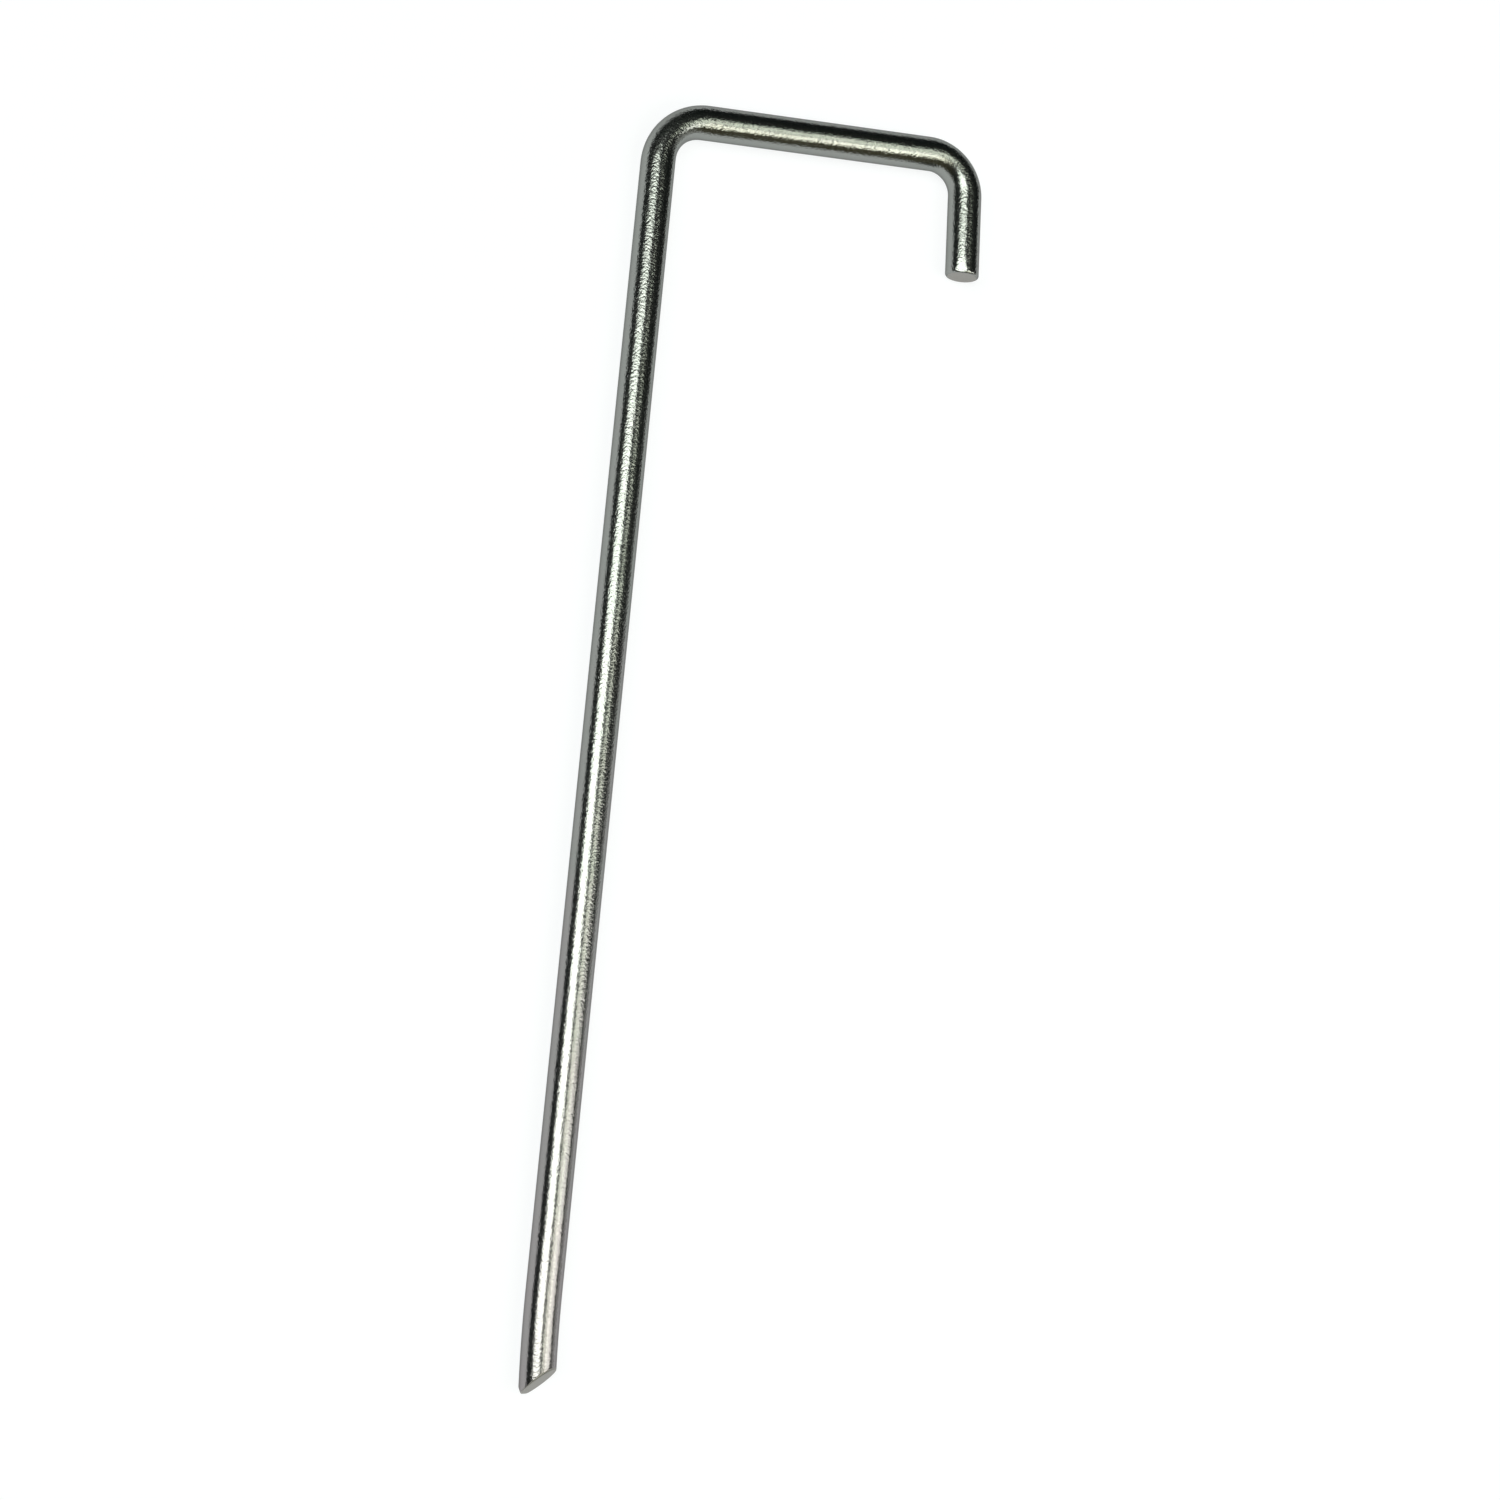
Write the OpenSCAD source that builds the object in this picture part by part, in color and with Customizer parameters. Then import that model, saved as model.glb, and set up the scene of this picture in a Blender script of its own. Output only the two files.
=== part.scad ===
// Ground peg: one length of round steel wire, bent twice into a hook and sheared to a point.
// It is modelled lying flat on a surface, as it comes to rest.
// +Y runs up the shank to the head, +X from the shank to the hook, +Z up off the surface.
// The origin is the middle of the peg's outline, on the surface it lies on.

/* [Wire] */
// Diameter of the wire
wire_d = 5; // [4:0.5:6]
// Length of the peg, from the top of the head to the point
peg_l = 183.8; // [120:0.1:300]

/* [Head] */
// Length of the arm, between the corners where the centrelines meet
arm_l = 47.2; // [36:0.1:70]
// Angle by which the arm rises towards the hook
arm_rise = 4.8; // [0:0.1:8]
// Length of the hook, from its corner to its cut end
hook_l = 18; // [14:0.1:30]
// Angle by which the hook splays away from the shank
hook_splay = 2.9; // [0:0.1:5]

/* [Bends] */
// Inside radius of the bend between shank and arm
shank_bend_r = 4; // [3:0.1:6]
// Share of its thickness that the wire loses half way round that bend
shank_bend_thinning = 0.07; // [0.02:0.005:0.15]
// Inside radius of the bend between arm and hook
hook_bend_r = 2.9; // [2.8:0.1:6]
// Share of its thickness that the wire loses half way round that bend
hook_bend_thinning = 0.045; // [0.02:0.005:0.15]

/* [Cut ends] */
// Length of the shank's end that the shears bent over
point_bend_l = 14; // [10:1:20]
// Distance by which they pushed the point towards +X
point_shift = 0.45; // [0.1:0.05:0.6]
// Angle between the sheared face of the point and a square cut
point_cut = 40; // [20:0.5:60]
// Direction, round the shank from +X through +Z, in which the point is longest
point_side = 217; // [0:1:359]
// Height of the blunt edge left at the very point
point_blunt = 0.55; // [0.3:0.05:0.7]
// Direction of the second, steeper face that trims the point's corner
trim_side = 197; // [0:1:359]
// Angle between that trimmed face and the shank
trim_cut = 23; // [15:1:40]
// Distance from the point at which the trimmed face starts
trim_l = 1; // [0.5:0.1:1.5]
// Radius rolled onto the edge of the hook's cut end
end_round = 0.45; // [0.2:0.05:0.8]

/* [Hidden] */

$fn = 96;
wire_r = wire_d / 2;
steel = [0.62, 0.63, 0.61];

// The wire turns through these angles in its two bends
shank_turn = 90 - arm_rise;
hook_turn = 90 + arm_rise - hook_splay;

// Outside radius of a bend that is thinned by that share at its middle
function outside_r(inside_r, turn, thinning) =
    inside_r + wire_d + wire_d * thinning / (1 / cos(turn / 2) - 1);
shank_bend_outside_r = outside_r(shank_bend_r, shank_turn, shank_bend_thinning);
hook_bend_outside_r = outside_r(hook_bend_r, hook_turn, hook_bend_thinning);

// Length of centreline that each bend takes off the straights beside it
shank_setback = (shank_bend_outside_r - wire_r) * tan(shank_turn / 2);
hook_setback = (hook_bend_outside_r - wire_r) * tan(hook_turn / 2);

// The corners are where the straights' centrelines meet. The shank's corner is at [0, 0].
arm_way = [cos(arm_rise), sin(arm_rise)];
arm_left = [-sin(arm_rise), cos(arm_rise)];
hook_corner = arm_l * arm_way;
hook_bend_centre = hook_corner - hook_setback * arm_way - (hook_bend_outside_r - wire_r) * arm_left;

// Outline of the whole peg, from the shank's corner
top_y = hook_bend_centre.y + hook_bend_outside_r;
point_y = top_y - peg_l;
left_x = -wire_r;
right_x = hook_corner.x + (hook_l - end_round) * sin(hook_splay)
    + (wire_r - end_round) * cos(hook_splay) + end_round;

// The disc each bend was formed round has a shallow groove in its rim
groove_r = 1.28 * wire_r;
former_h = 1.96 * wire_r;
// The straights end in slight tapers, which seat in bends that are thinner by a hair
seat_l = 0.4;
seat_depth = 0.02;
// Radius of the slight bend at the point, which runs on below the point and is cut off there
point_bend_r = (point_bend_l ^ 2 + point_shift ^ 2) / (2 * point_shift);
point_spare = 0.5;
point_turn = asin((point_bend_l + point_spare) / point_bend_r);
// Side of the block that makes each cut
block = 4 * wire_d;

// Disc that a bend was formed round. Cut away from it, the disc leaves the inside pinched.
module former(r) {
    rotate_extrude()
        difference() {
            translate([0, -former_h / 2])
                square([r + wire_r, former_h]);
            translate([r + groove_r, 0])
                circle(r = groove_r);
        }
}

// A bend that enters along +Y at the origin and turns right. What comes after starts at its end.
module bend(turn, inside_r, outside_r) {
    middle_r = outside_r - wire_r;
    former_shift = (outside_r - inside_r - wire_d) / cos(turn / 2);
    translate([middle_r, 0, 0]) {
        difference() {
            rotate_extrude(angle = turn, start = 180 - turn)
                translate([middle_r, 0])
                    circle(r = wire_r - seat_depth);
            rotate([0, 0, 180 - turn / 2])
                translate([former_shift, 0, 0])
                    former(inside_r);
        }
        rotate([0, 0, -turn])
            translate([-middle_r, 0, 0])
                children();
    }
}

// Slight taper on a straight's end, along +Z
module seat() {
    cylinder(h = seat_l, r1 = wire_r, r2 = wire_r - 2 * seat_depth);
}

// A straight stretch along +Y from the origin. What comes after starts at its end.
module straight(length) {
    rotate([-90, 0, 0]) {
        cylinder(h = length, r = wire_r);
        mirror([0, 0, 1])
            seat();
        translate([0, 0, length])
            seat();
    }
    translate([0, length, 0])
        children();
}

// The hook's straight stretch along +Y, with a rolled edge at its cut end
module hook_leg(length) {
    rotate([-90, 0, 0]) {
        mirror([0, 0, 1])
            seat();
        rotate_extrude() {
            square([wire_r, length - end_round]);
            square([wire_r - end_round, length]);
            translate([wire_r - end_round, length - end_round])
                circle(r = end_round, $fn = 32);
        }
    }
}

// Block below a plane that slopes towards one side of the shank, from +X through +Z.
// The plane passes height start_y at start_r from the axis, turned by slope from square.
module below_slope(side, start_r, start_y, slope) {
    translate([0, start_y, 0])
        rotate([0, -side, 0])
            translate([start_r, 0, 0])
                rotate([0, 0, slope])
                    translate([-block / 2, -block, -block / 2])
                        cube(block);
}

// The shank's end, from the origin down along -Y and slightly towards +X, sheared to a point
module point() {
    difference() {
        translate([point_bend_r, 0, 0])
            rotate_extrude(angle = point_turn, start = 180)
                translate([point_bend_r, 0])
                    circle(r = wire_r - seat_depth);
        translate([point_shift, -point_bend_l, 0]) {
            below_slope(point_side, 0, 0, 0);
            below_slope(point_side, wire_r - point_blunt, 0, -point_cut);
            below_slope(trim_side, wire_r, trim_l, 90 - trim_cut);
        }
    }
}

// The shank, down from the origin to its sheared point
module shank(length) {
    rotate([-90, 0, 0])
        seat();
    rotate([90, 0, 0])
        cylinder(h = length - point_bend_l, r = wire_r);
    translate([0, point_bend_l - length, 0]) {
        rotate([90, 0, 0])
            seat();
        point();
    }
}

// The wire from the point to the hook's end, each stretch starting where the last one ends
module bent_wire() {
    translate([0, -shank_setback, 0]) {
        shank(-shank_setback - point_y);
        bend(shank_turn, shank_bend_r, shank_bend_outside_r)
            straight(arm_l - shank_setback - hook_setback)
                bend(hook_turn, hook_bend_r, hook_bend_outside_r)
                    hook_leg(hook_l - hook_setback);
    }
}

module peg() {
    color(steel)
        translate([-(left_x + right_x) / 2, -(top_y + point_y) / 2, wire_r])
            bent_wire();
}

peg();
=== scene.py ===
# Looks of the ground peg: its bent wire as one refined mesh, the plated steel, and the studio.
import math

import bpy
from mathutils import Matrix, Vector


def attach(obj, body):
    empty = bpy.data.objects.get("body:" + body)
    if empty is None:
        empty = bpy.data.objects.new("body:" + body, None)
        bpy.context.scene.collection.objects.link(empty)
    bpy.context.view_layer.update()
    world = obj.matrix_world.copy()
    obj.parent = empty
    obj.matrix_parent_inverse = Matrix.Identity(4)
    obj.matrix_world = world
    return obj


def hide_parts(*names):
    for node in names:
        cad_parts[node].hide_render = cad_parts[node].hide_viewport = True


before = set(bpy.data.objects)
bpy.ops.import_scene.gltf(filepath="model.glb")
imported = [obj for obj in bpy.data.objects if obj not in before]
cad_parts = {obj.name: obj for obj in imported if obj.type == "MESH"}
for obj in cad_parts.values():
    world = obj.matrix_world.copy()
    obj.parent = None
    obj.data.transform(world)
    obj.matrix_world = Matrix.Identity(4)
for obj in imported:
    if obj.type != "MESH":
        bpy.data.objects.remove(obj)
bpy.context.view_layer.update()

# Sizes are in millimetres and angles in degrees. Blender works in metres.
MM = 0.001

# Wire and head
WIRE_R = 2.5
PEG_L = 183.8
ARM_L = 47.2
ARM_RISE = 4.8
HOOK_L = 18.0
HOOK_SPLAY = 2.9

# Bends: inside radius, and the share of its thickness that the wire loses at the middle
SHANK_BEND_R = 4.0
SHANK_BEND_THINNING = 0.07
HOOK_BEND_R = 2.9
HOOK_BEND_THINNING = 0.045

# The point: bent over a little by the shears, with a sheared face, a trimmed corner and a blunt edge
POINT_BEND_L = 14.0
POINT_SHIFT = 0.45
POINT_CUT = 40.0
POINT_SIDE = 217.0
POINT_BLUNT = 0.55
TRIM_SIDE = 197.0
TRIM_CUT = 23.0
TRIM_L = 1.0
# How far the cut edge is rounded all round, how much more on top, and how softly the faces meet
POINT_EDGE = 0.06
POINT_ROLL = 0.25
FACE_BLEND = 0.1

# The hook's cut end: a hair out of square, longer on the outside, and dished
END_TILT = 4.4
END_ROUND = 0.45
END_DISH = 0.06

# Beside it the shears pressed a small flat, which slopes down to the end and leans inwards
PRESSED_L = 1.7
PRESSED_SLOPE = 6.0
PRESSED_LEAN = 25.0
PRESSED_BLEND = 0.08

# The mesh: it stays a hair inside the solid's own box
HAIR = 0.035
SIDES = 128
STRAIGHT_STEP = 1.5
HOOK_STEP = 0.2
BEND_RINGS = 64
POINT_RINGS = 18
CAP_RINGS = 30
POINT_EDGE_RINGS = 6
HOOK_EDGE_RINGS = 12
# The last of the hook's edge rings are bare steel, like the cut face
BARE_EDGE_RINGS = 3

# Nearly all of a noise's values are within this range
NOISE_RANGE = (0.3, 0.7)
# Turn of the noises, in radians, that keeps their grid off the wire's own axes
ASKEW = (0.5, 0.8, 0.3)

# Colours of the plating and of the bare steel
WARM_ZINC = (0.312, 0.297, 0.298)
COOL_ZINC = (0.286, 0.3, 0.284)
DARK_CUT = (0.28, 0.275, 0.26)
LIGHT_CUT = (0.37, 0.36, 0.335)
# Tint of what the plating reflects at shallow angles
SHALLOW_TINT = (0.45, 0.45, 0.45)

# Floor: half its side, in metres, its paint, and the colour, strength and share of its own glow
FLOOR_REACH = 40.0
FLOOR_PAINT = (0.88, 0.88, 0.94)
FLOOR_GLOW = (0.985, 1, 1)
FLOOR_GLOW_STRENGTH = 1.09
FLOOR_GLOW_SHARE = 0.8

# Colours of the room, all round and on its lighter side, and the way to that side
ROOM_DARK = (0.012, 0.016, 0.015)
ROOM_LIGHT = (0.1, 0.09, 0.05)
ROOM_LIGHT_SIDE = (0.3, -0.95, 0)
# Cosines of the angle from that way between which the room turns lighter
ROOM_LIGHT_SPREAD = (0.3, 1)

# Camera
CAMERA_EYE = (-144.11, -65.04, 390.99)
CAMERA_AIM = (-1.99, -1.88, 2.5)
CAMERA_ROLL = 72.909
CAMERA_LENS = 72.0
CAMERA_SENSOR = 36.0

# Angles round a section of the wire, in radians
TURNS = [2 * math.pi * j / SIDES for j in range(SIDES)]

shank_turn = math.radians(90 - ARM_RISE)
hook_turn = math.radians(90 + ARM_RISE - HOOK_SPLAY)


def outside_radius(inside_r, turn, thinning):
    """Outside radius of a bend that is thinned by that share at its middle."""
    return inside_r + 2 * WIRE_R + 2 * WIRE_R * thinning / (1 / math.cos(turn / 2) - 1)


shank_bend_outside_r = outside_radius(SHANK_BEND_R, shank_turn, SHANK_BEND_THINNING)
hook_bend_outside_r = outside_radius(HOOK_BEND_R, hook_turn, HOOK_BEND_THINNING)
# Length of centreline that each bend takes off the straights beside it
shank_setback = (shank_bend_outside_r - WIRE_R) * math.tan(shank_turn / 2)
hook_setback = (hook_bend_outside_r - WIRE_R) * math.tan(hook_turn / 2)


def left_of(heading):
    """Unit vector to the left of a heading. The outside of both bends is on that side."""
    return Vector((-math.sin(heading), math.cos(heading), 0))


def ahead_of(heading):
    """Unit vector along a heading."""
    return Vector((math.cos(heading), math.sin(heading), 0))


def smooth_min(a, b, blend):
    """The lower of two heights, with a soft blend where they are about equal."""
    return (a + b - math.sqrt((a - b) ** 2 + blend ** 2)) / 2


def smooth_max(a, b, blend):
    """The higher of two heights, with a soft blend where they are about equal."""
    return (a + b + math.sqrt((a - b) ** 2 + blend ** 2)) / 2


class Station:
    """One section across the wire: where it is, its heading, its reach inwards, and its place along."""

    def __init__(self, centre, heading, along, inward=WIRE_R, strain=0.0):
        self.centre = centre
        self.heading = heading
        self.along = along
        self.inward = inward
        self.strain = strain
        self.tilt = 0.0
        self.pressed_to = 2 * WIRE_R

    def point(self, turn, share=1.0):
        """Point of the section at an angle from its outside, at a share of the radius.

        A tilt in degrees sets the outside of the section ahead of its inside. The flat that leans
        inwards is pressed down to a distance from the centre.
        """
        side_r = WIRE_R if math.cos(turn) >= 0 else self.inward
        across = share * math.cos(turn) * (side_r - HAIR)
        height = share * math.sin(turn) * (WIRE_R - HAIR)
        lean = math.radians(PRESSED_LEAN)
        reach = height * math.cos(lean) - across * math.sin(lean)
        pressed = reach - smooth_min(reach, self.pressed_to, PRESSED_BLEND)
        across += pressed * math.sin(lean)
        height -= pressed * math.cos(lean)
        ahead = across * math.tan(math.radians(self.tilt))
        level = across * left_of(self.heading) + ahead * ahead_of(self.heading)
        return self.centre + level + Vector((0, 0, height))


def straight_stations(start, length, step=STRAIGHT_STEP):
    """Sections along a straight stretch, without its first one."""
    count = max(2, round(length / step))
    stations = []
    for k in range(1, count + 1):
        passed = length * k / count
        centre = start.centre + passed * ahead_of(start.heading)
        stations.append(Station(centre, start.heading, start.along + passed))
    return stations


def inside_reach(from_leg, turn, inside_r, outside_r):
    """Distance of the pinched inside from the centre of the bend's outside arc."""
    shift = outside_r - inside_r - 2 * WIRE_R
    leg_r = outside_r - 2 * WIRE_R
    if from_leg < math.atan(shift * math.tan(turn / 2) / leg_r):
        return leg_r / math.cos(from_leg)
    gap = shift / math.cos(turn / 2)
    off = turn / 2 - from_leg
    return gap * math.cos(off) + math.sqrt(inside_r ** 2 - (gap * math.sin(off)) ** 2)


def bend_stations(start, turn, inside_r, outside_r):
    """Sections round a bend to the right, without its first one."""
    middle_r = outside_r - WIRE_R
    centre = start.centre - middle_r * left_of(start.heading)
    stations = []
    for k in range(1, BEND_RINGS + 1):
        passed = turn * k / BEND_RINGS
        heading = start.heading - passed
        reach = inside_reach(min(passed, turn - passed), turn, inside_r, outside_r)
        strain = math.sin(math.pi * k / BEND_RINGS) ** 2
        place = centre + middle_r * left_of(heading)
        along = start.along + middle_r * passed
        stations.append(Station(place, heading, along, middle_r - reach, strain))
    return stations


def shank_corner():
    """Place of the shank's corner, and how far along Y the point is from it.

    The middle of the peg's outline is at the origin, and the peg lies on the floor.
    """
    rise = math.radians(ARM_RISE)
    splay = math.radians(HOOK_SPLAY)
    hook_corner = Vector((ARM_L * math.cos(rise), ARM_L * math.sin(rise), 0))
    bend_start = hook_corner - hook_setback * ahead_of(rise)
    bend_centre = bend_start - (hook_bend_outside_r - WIRE_R) * left_of(rise)
    top = bend_centre.y + hook_bend_outside_r
    end_x = hook_corner.x + (HOOK_L - END_ROUND) * math.sin(splay)
    right = end_x + (WIRE_R - END_ROUND) * math.cos(splay) + END_ROUND
    return Vector(((WIRE_R - right) / 2, PEG_L / 2 - top, WIRE_R)), top - PEG_L


def shear_off(leg):
    """Tilt the hook's sections more and more towards its cut end, and press the flat beside it."""
    for k, station in enumerate(leg, 1):
        from_end = (len(leg) - k) * HOOK_STEP + END_ROUND
        depth = math.tan(math.radians(PRESSED_SLOPE)) * (PRESSED_L - from_end)
        station.tilt = END_TILT * k / len(leg)
        station.pressed_to = WIRE_R - HAIR - depth


def wire_stations(corner, point_y):
    """Sections along the wire, from where the bent-over point starts to the hook's cut end."""
    start = Station(corner + Vector((0, point_y + POINT_BEND_L, 0)), math.pi / 2, POINT_BEND_L)
    stations = [start]
    stations += straight_stations(start, -shank_setback - point_y - POINT_BEND_L)
    stations += bend_stations(stations[-1], shank_turn, SHANK_BEND_R, shank_bend_outside_r)
    stations += straight_stations(stations[-1], ARM_L - shank_setback - hook_setback)
    stations += bend_stations(stations[-1], hook_turn, HOOK_BEND_R, hook_bend_outside_r)
    leg = straight_stations(stations[-1], HOOK_L - hook_setback - END_ROUND, HOOK_STEP)
    shear_off(leg)
    return stations + leg


def point_height(x, z):
    """Height of the point's cut faces above its lowest level, across from the shank's axis."""
    def face(side, start_r, height, slope):
        towards = math.radians(side)
        reach = x * math.cos(towards) + z * math.sin(towards)
        return height + math.tan(math.radians(slope)) * (reach - start_r)
    sheared = face(POINT_SIDE, WIRE_R - POINT_BLUNT, 0, -POINT_CUT)
    trimmed = face(TRIM_SIDE, WIRE_R, TRIM_L, 90 - TRIM_CUT)
    return smooth_max(smooth_max(0, sheared, FACE_BLEND), trimmed, FACE_BLEND)


def point_rings(corner, point_y):
    """Rings from the middle of the point's cut face, over its edge and up to the round shank."""
    wall_r = WIRE_R - HAIR
    tip_y = corner.y + point_y
    level = tip_y + POINT_BEND_L
    bend_r = (POINT_BEND_L ** 2 + POINT_SHIFT ** 2) / (2 * POINT_SHIFT)

    def place(turn, r):
        """Place on the cut face at an angle from the wire's outside, r from its axis."""
        x, z = -r * math.cos(turn), r * math.sin(turn)
        return Vector((corner.x + x, tip_y + point_height(x, z) + HAIR, corner.z + z))

    def edge_of(turn):
        """How far the cut edge is rounded: more on top, where the shears rolled it over."""
        return POINT_EDGE + POINT_ROLL * max(0, math.sin(turn)) ** 2

    def rounded(turn, t):
        """Place on the rounded edge, from the cut face at 0 to the shank's side at 1."""
        inner = place(turn, wall_r - edge_of(turn))
        edge = place(turn, wall_r)
        outer = edge + Vector((0, edge_of(turn), 0))
        return (1 - t) ** 2 * inner + 2 * t * (1 - t) * edge + t ** 2 * outer

    def bent(p):
        """The same place after the shears have pushed the point over towards +X."""
        return p + Vector((bend_r - math.sqrt(bend_r ** 2 - (level - p.y) ** 2), 0, 0))

    rings = [[place(0, 0)]]
    for k in range(1, CAP_RINGS + 1):
        share = math.sin(math.pi / 2 * k / CAP_RINGS)
        rings.append([place(turn, share * (wall_r - edge_of(turn))) for turn in TURNS])
    for k in range(1, POINT_EDGE_RINGS + 1):
        rings.append([rounded(turn, k / POINT_EDGE_RINGS) for turn in TURNS])
    last = rings[-1]
    for k in range(1, POINT_RINGS + 1):
        rings.append([Vector((p.x, p.y + (level - p.y) * k / POINT_RINGS, p.z)) for p in last])
    return [[bent(p) for p in ring] for ring in rings]


def hook_end_rings(station):
    """Rings over the hook's rolled edge and across its cut face to the middle."""
    ahead = ahead_of(station.heading)
    rings = []
    for k in range(1, HOOK_EDGE_RINGS + 1):
        a = math.pi / 2 * k / HOOK_EDGE_RINGS
        share = 1 - END_ROUND * (1 - math.cos(a)) / WIRE_R
        rings.append([station.point(turn, share) + END_ROUND * math.sin(a) * ahead for turn in TURNS])
    flat = 1 - END_ROUND / WIRE_R
    for k in range(1, CAP_RINGS + 1):
        share = 1 - k / CAP_RINGS
        dish = END_DISH * math.cos(math.pi / 2 * share) ** 2
        raised = (END_ROUND - dish) * ahead
        ring_turns = TURNS if k < CAP_RINGS else [0]
        rings.append([station.point(turn, flat * share) + raised for turn in ring_turns])
    return rings


def skin(name, rings):
    """Closed mesh over rings of points, from one middle point to the other, and where rings start."""
    points, faces, starts = [], [], []
    for ring in rings:
        starts.append(len(points))
        points += [MM * p for p in ring]
    for k in range(len(rings) - 1):
        here, there = starts[k], starts[k + 1]
        for j in range(SIDES):
            after = (j + 1) % SIDES
            if len(rings[k]) == 1:
                faces.append((here, there + after, there + j))
            elif len(rings[k + 1]) == 1:
                faces.append((here + j, here + after, there))
            else:
                faces.append((here + j, here + after, there + after, there + j))
    mesh = bpy.data.meshes.new(name)
    mesh.from_pydata(points, [], faces)
    mesh.validate()
    mesh.shade_smooth()
    return mesh, starts


def note_wire(mesh, rings, stations, point_ring_count):
    """Note each point's place in the wire before it was bent, and how much a bend has stretched it."""
    places, pulls = [], []
    for k, ring in enumerate(rings):
        station = stations[min(max(k - point_ring_count + 1, 0), len(stations) - 1)]
        ahead, out = ahead_of(station.heading), left_of(station.heading)
        for turn, p in zip(TURNS, ring):
            offset = p - station.centre
            places += [offset.dot(out), offset.z, station.along + offset.dot(ahead)]
            pulls.append(station.strain * max(0, math.cos(turn)))
    mesh.attributes.new("unbent", "FLOAT_VECTOR", "POINT").data.foreach_set("vector", places)
    mesh.attributes.new("stretch", "FLOAT", "POINT").data.foreach_set("value", pulls)


def build_peg():
    """The peg as one closed mesh: zinc plated all along, and bare steel on its two cut ends."""
    corner, point_y = shank_corner()
    stations = wire_stations(corner, point_y)
    point = point_rings(corner, point_y)
    tube = [[station.point(turn) for turn in TURNS] for station in stations[1:]]
    rings = point + tube + hook_end_rings(stations[-1])
    mesh, starts = skin("ground_peg", rings)
    note_wire(mesh, rings, stations, len(point))

    point_cut_to = starts[1 + CAP_RINGS + POINT_EDGE_RINGS]
    hook_cut_from = starts[len(point) + len(tube) + HOOK_EDGE_RINGS - BARE_EDGE_RINGS]
    mesh.materials.append(zinc_plated_steel())
    mesh.materials.append(sheared_steel())
    for face in mesh.polygons:
        if max(face.vertices) < point_cut_to or min(face.vertices) >= hook_cut_from:
            face.material_index = 1

    peg = bpy.data.objects.new("ground_peg", mesh)
    bpy.context.scene.collection.objects.link(peg)
    return peg


def new_material(name):
    """Material with an empty node tree, and the socket that takes its surface."""
    material = bpy.data.materials.new(name)
    material.use_nodes = True
    tree = material.node_tree
    tree.nodes.clear()
    output = tree.nodes.new("ShaderNodeOutputMaterial")
    return material, tree, output.inputs["Surface"]


def new_metal(name):
    material, tree, surface = new_material(name)
    shader = tree.nodes.new("ShaderNodeBsdfPrincipled")
    shader.inputs["Metallic"].default_value = 1.0
    tree.links.new(shader.outputs["BSDF"], surface)
    return material, tree, shader


def noise(tree, vector, scale, detail, roughness=0.5, stretch=(1, 1, 1), turned=(0, 0, 0)):
    """Noise with about that many bumps to the millimetre."""
    mapping = tree.nodes.new("ShaderNodeMapping")
    mapping.inputs["Scale"].default_value = stretch
    mapping.inputs["Rotation"].default_value = turned
    tree.links.new(vector, mapping.inputs["Vector"])
    texture = tree.nodes.new("ShaderNodeTexNoise")
    texture.inputs["Scale"].default_value = scale
    texture.inputs["Detail"].default_value = detail
    texture.inputs["Roughness"].default_value = roughness
    tree.links.new(mapping.outputs["Vector"], texture.inputs["Vector"])
    return texture.outputs["Fac"]


def mix_colours(tree, share, low, high):
    mix = tree.nodes.new("ShaderNodeMix")
    mix.data_type = "RGBA"
    mix.inputs["A"].default_value = (*low, 1)
    mix.inputs["B"].default_value = (*high, 1)
    tree.links.new(share, mix.inputs["Factor"])
    return mix.outputs["Result"]


def map_range(tree, value, given, wanted):
    node = tree.nodes.new("ShaderNodeMapRange")
    node.inputs["From Min"].default_value = given[0]
    node.inputs["From Max"].default_value = given[1]
    node.inputs["To Min"].default_value = wanted[0]
    node.inputs["To Max"].default_value = wanted[1]
    tree.links.new(value, node.inputs["Value"])
    return node.outputs["Result"]


def bump(tree, height, depth, before=None):
    """Bumps of that depth in millimetres, on top of the bumps before."""
    node = tree.nodes.new("ShaderNodeBump")
    node.inputs["Distance"].default_value = depth * MM
    tree.links.new(height, node.inputs["Height"])
    if before is not None:
        tree.links.new(before, node.inputs["Normal"])
    return node.outputs["Normal"]


def combine(tree, operation, a, b):
    node = tree.nodes.new("ShaderNodeMath")
    node.operation = operation
    tree.links.new(a, node.inputs[0])
    tree.links.new(b, node.inputs[1])
    return node.outputs[0]


def attribute(tree, name, output):
    node = tree.nodes.new("ShaderNodeAttribute")
    node.attribute_name = name
    return node.outputs[output]


def distance_along(tree, place):
    """Distance from the point along the wire, in millimetres."""
    node = tree.nodes.new("ShaderNodeSeparateXYZ")
    tree.links.new(place, node.inputs["Vector"])
    return node.outputs["Z"]


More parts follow.
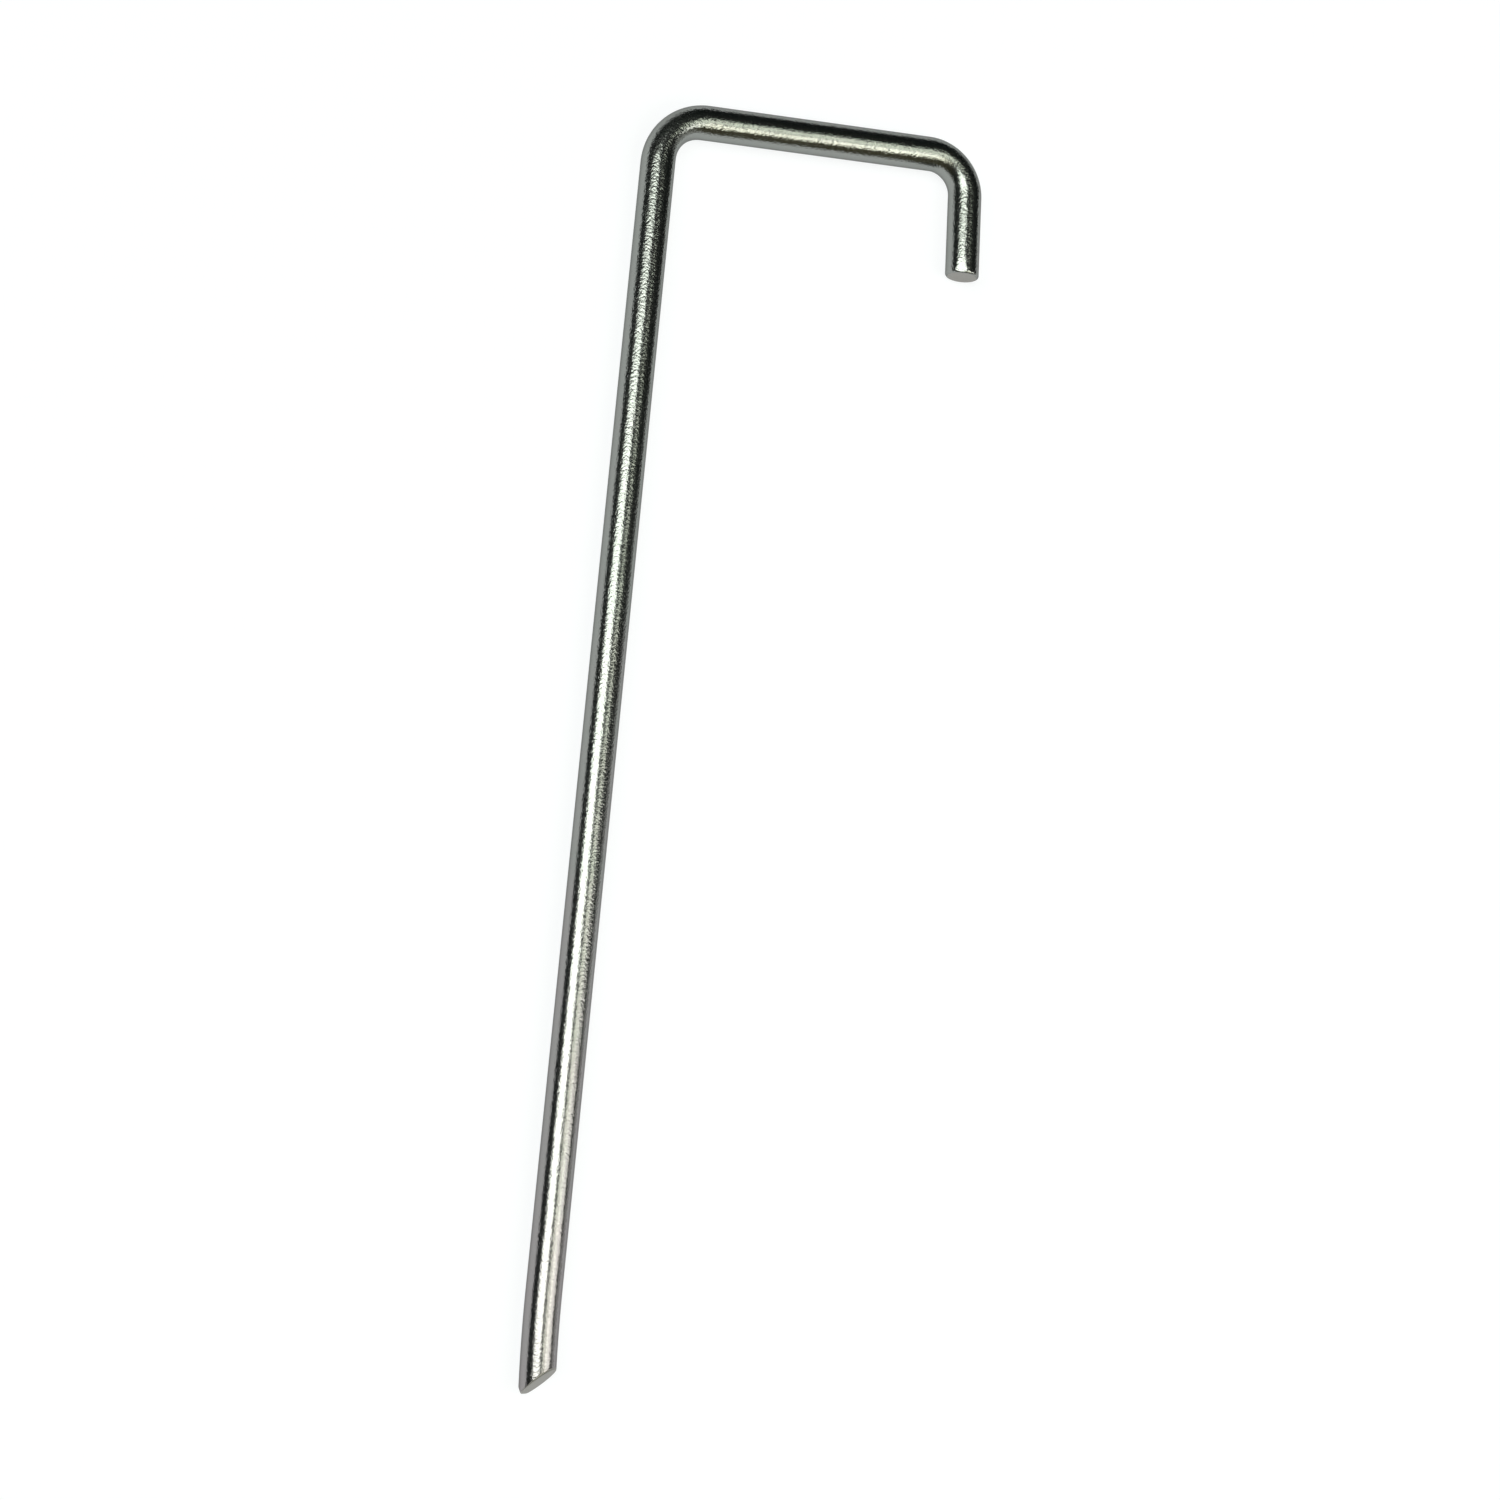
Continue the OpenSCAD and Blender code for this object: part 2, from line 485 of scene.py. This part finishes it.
def zinc_plated_steel():
    """Satin plating with a fine grain over drawing lines, and a rough skin outside the bends."""
    material, tree, shader = new_metal("zinc_plated_steel")
    place = attribute(tree, "unbent", "Vector")
    along = distance_along(tree, place)
    stretch = attribute(tree, "stretch", "Fac")
    grain = noise(tree, place, scale=3.1, detail=1, turned=ASKEW)
    waves = noise(tree, place, scale=0.8, detail=2, turned=ASKEW)
    drawn = noise(tree, place, scale=1.6, detail=3, roughness=0.6, stretch=(1, 1, 0.04))
    mottle = noise(tree, place, scale=0.12, detail=3)

    # The plating's tint turns from a warm to a cool grey towards the head, and is mottled
    towards_head = map_range(tree, along, (0, 120), (0, 1))
    patches = map_range(tree, mottle, NOISE_RANGE, (-0.3, 0.3))
    tint = mix_colours(tree, combine(tree, "ADD", towards_head, patches), WARM_ZINC, COOL_ZINC)
    tree.links.new(tint, shader.inputs["Base Color"])
    shader.inputs["Specular Tint"].default_value = (*SHALLOW_TINT, 1)

    plain_roughness = map_range(tree, grain, NOISE_RANGE, (0.19, 0.25))
    added_roughness = map_range(tree, stretch, (0, 1), (0, 0.12))
    roughness = combine(tree, "ADD", plain_roughness, added_roughness)
    tree.links.new(roughness, shader.inputs["Roughness"])

    normal = bump(tree, drawn, 0.004)
    normal = bump(tree, waves, 0.004, normal)
    # The grain is shallower towards the point
    coarse = map_range(tree, along, (10, 100), (0.6, 1))
    normal = bump(tree, combine(tree, "MULTIPLY", grain, coarse), 0.045, normal)
    # The outside of a bend is drawn out, which leaves its skin rough
    torn = noise(tree, place, scale=2.8, detail=1, turned=ASKEW)
    normal = bump(tree, combine(tree, "MULTIPLY", torn, stretch), 0.09, normal)
    tree.links.new(normal, shader.inputs["Normal"])
    return material


def sheared_steel():
    """Bare, dull steel of the two cut faces."""
    material, tree, shader = new_metal("sheared_steel")
    place = attribute(tree, "unbent", "Vector")
    grain = noise(tree, place, scale=5, detail=3, roughness=0.6)
    tree.links.new(mix_colours(tree, grain, DARK_CUT, LIGHT_CUT), shader.inputs["Base Color"])
    tree.links.new(map_range(tree, grain, NOISE_RANGE, (0.45, 0.6)), shader.inputs["Roughness"])
    tree.links.new(bump(tree, grain, 0.02), shader.inputs["Normal"])
    return material


def pale_floor():
    """White paint that takes shadows, mixed with a glow for what sees it directly or in a reflection."""
    material, tree, surface = new_material("pale_floor")
    paint = tree.nodes.new("ShaderNodeBsdfDiffuse")
    paint.inputs["Color"].default_value = (*FLOOR_PAINT, 1)
    glow = tree.nodes.new("ShaderNodeEmission")
    glow.inputs["Color"].default_value = (*FLOOR_GLOW, 1)
    glow.inputs["Strength"].default_value = FLOOR_GLOW_STRENGTH
    rays = tree.nodes.new("ShaderNodeLightPath").outputs
    seen = combine(tree, "MAXIMUM", rays["Is Camera Ray"], rays["Is Glossy Ray"])
    seen = combine(tree, "MAXIMUM", seen, rays["Is Transmission Ray"])
    mix = tree.nodes.new("ShaderNodeMixShader")
    tree.links.new(map_range(tree, seen, (0, 1), (0, FLOOR_GLOW_SHARE)), mix.inputs[0])
    tree.links.new(paint.outputs["BSDF"], mix.inputs[1])
    tree.links.new(glow.outputs["Emission"], mix.inputs[2])
    tree.links.new(mix.outputs["Shader"], surface)
    return material


def build_floor():
    mesh = bpy.data.meshes.new("floor")
    corners = [(x * FLOOR_REACH, y * FLOOR_REACH, 0) for x, y in ((-1, -1), (1, -1), (1, 1), (-1, 1))]
    mesh.from_pydata(corners, [], [(0, 1, 2, 3)])
    mesh.materials.append(pale_floor())
    floor = bpy.data.objects.new("floor", mesh)
    bpy.context.scene.collection.objects.link(floor)


def build_room():
    """Dim room round the studio, a little lighter and warmer towards one side."""
    world = bpy.data.worlds.new("dim_room")
    world.use_nodes = True
    tree = world.node_tree
    towards = tree.nodes.new("ShaderNodeTexCoord").outputs["Generated"]
    facing = tree.nodes.new("ShaderNodeVectorMath")
    facing.operation = "DOT_PRODUCT"
    facing.inputs[1].default_value = ROOM_LIGHT_SIDE
    tree.links.new(towards, facing.inputs[0])
    share = map_range(tree, facing.outputs["Value"], ROOM_LIGHT_SPREAD, (0, 1))
    background = tree.nodes["Background"]
    tree.links.new(mix_colours(tree, share, ROOM_DARK, ROOM_LIGHT), background.inputs["Color"])
    bpy.context.scene.world = world


def add_softbox(name, height, centre, size, radiance, colour):
    """Rectangular lamp level above the peg. Centre and size, in X and Y, are shares of its height."""
    lamp = bpy.data.lights.new(name, "AREA")
    lamp.shape = "RECTANGLE"
    lamp.size = size[0] * height * MM
    lamp.size_y = size[1] * height * MM
    lamp.energy = radiance * math.pi * lamp.size * lamp.size_y
    lamp.color = colour
    holder = bpy.data.objects.new(name, lamp)
    holder.location = (centre[0] * height * MM, centre[1] * height * MM, height * MM)
    bpy.context.scene.collection.objects.link(holder)


def light_scene():
    """The room, and the lamps whose reflections draw the bright bands along the wire."""
    build_room()
    # Name, height, centre, size, radiance and colour
    add_softbox("softbox_left", 2000, (-0.66, 0.08), (1.03, 0.61), 4.7, (0.96, 1, 0.925))
    add_softbox("softbox_right", 430, (1.0, -0.246), (1.08, 0.446), 2.75, (1, 1, 0.93))
    add_softbox("softbox_middle", 2000, (0.37, -0.02), (0.52, 0.28), 2.6, (0.96, 1, 0.86))
    add_softbox("softbox_back", 2000, (0.39, 0.21), (0.12, 0.18), 2.7, (0.96, 1, 0.86))
    add_softbox("softbox_front", 2000, (0.352, -0.62), (0.61, 0.56), 3.05, (1, 0.98, 0.8))
    add_softbox("low_panel", 500, (11.1, -2.5), (15.7, 7.0), 0.62, (1, 1, 0.97))


def place_camera():
    """Camera that looks down on the peg from its left, rolled so that the shank stands nearly upright."""
    camera = bpy.data.cameras.new("camera")
    camera.lens = CAMERA_LENS
    camera.sensor_width = CAMERA_SENSOR
    camera.clip_start = 0.01
    camera.clip_end = 200.0
    eye = Vector(CAMERA_EYE)
    roll = math.radians(CAMERA_ROLL)
    back = (eye - Vector(CAMERA_AIM)).normalized()
    level = Vector((0, 0, 1)).cross(back).normalized()
    upright = back.cross(level)
    right = math.cos(roll) * level + math.sin(roll) * upright
    up = back.cross(right)
    holder = bpy.data.objects.new("camera", camera)
    holder.matrix_world = Matrix.Translation(MM * eye) @ Matrix((right, up, back)).transposed().to_4x4()
    bpy.context.scene.collection.objects.link(holder)
    bpy.context.scene.camera = holder


peg = build_peg()
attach(peg, "root")
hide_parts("peg")
build_floor()
light_scene()
place_camera()
bpy.context.scene.view_settings.view_transform = "Standard"
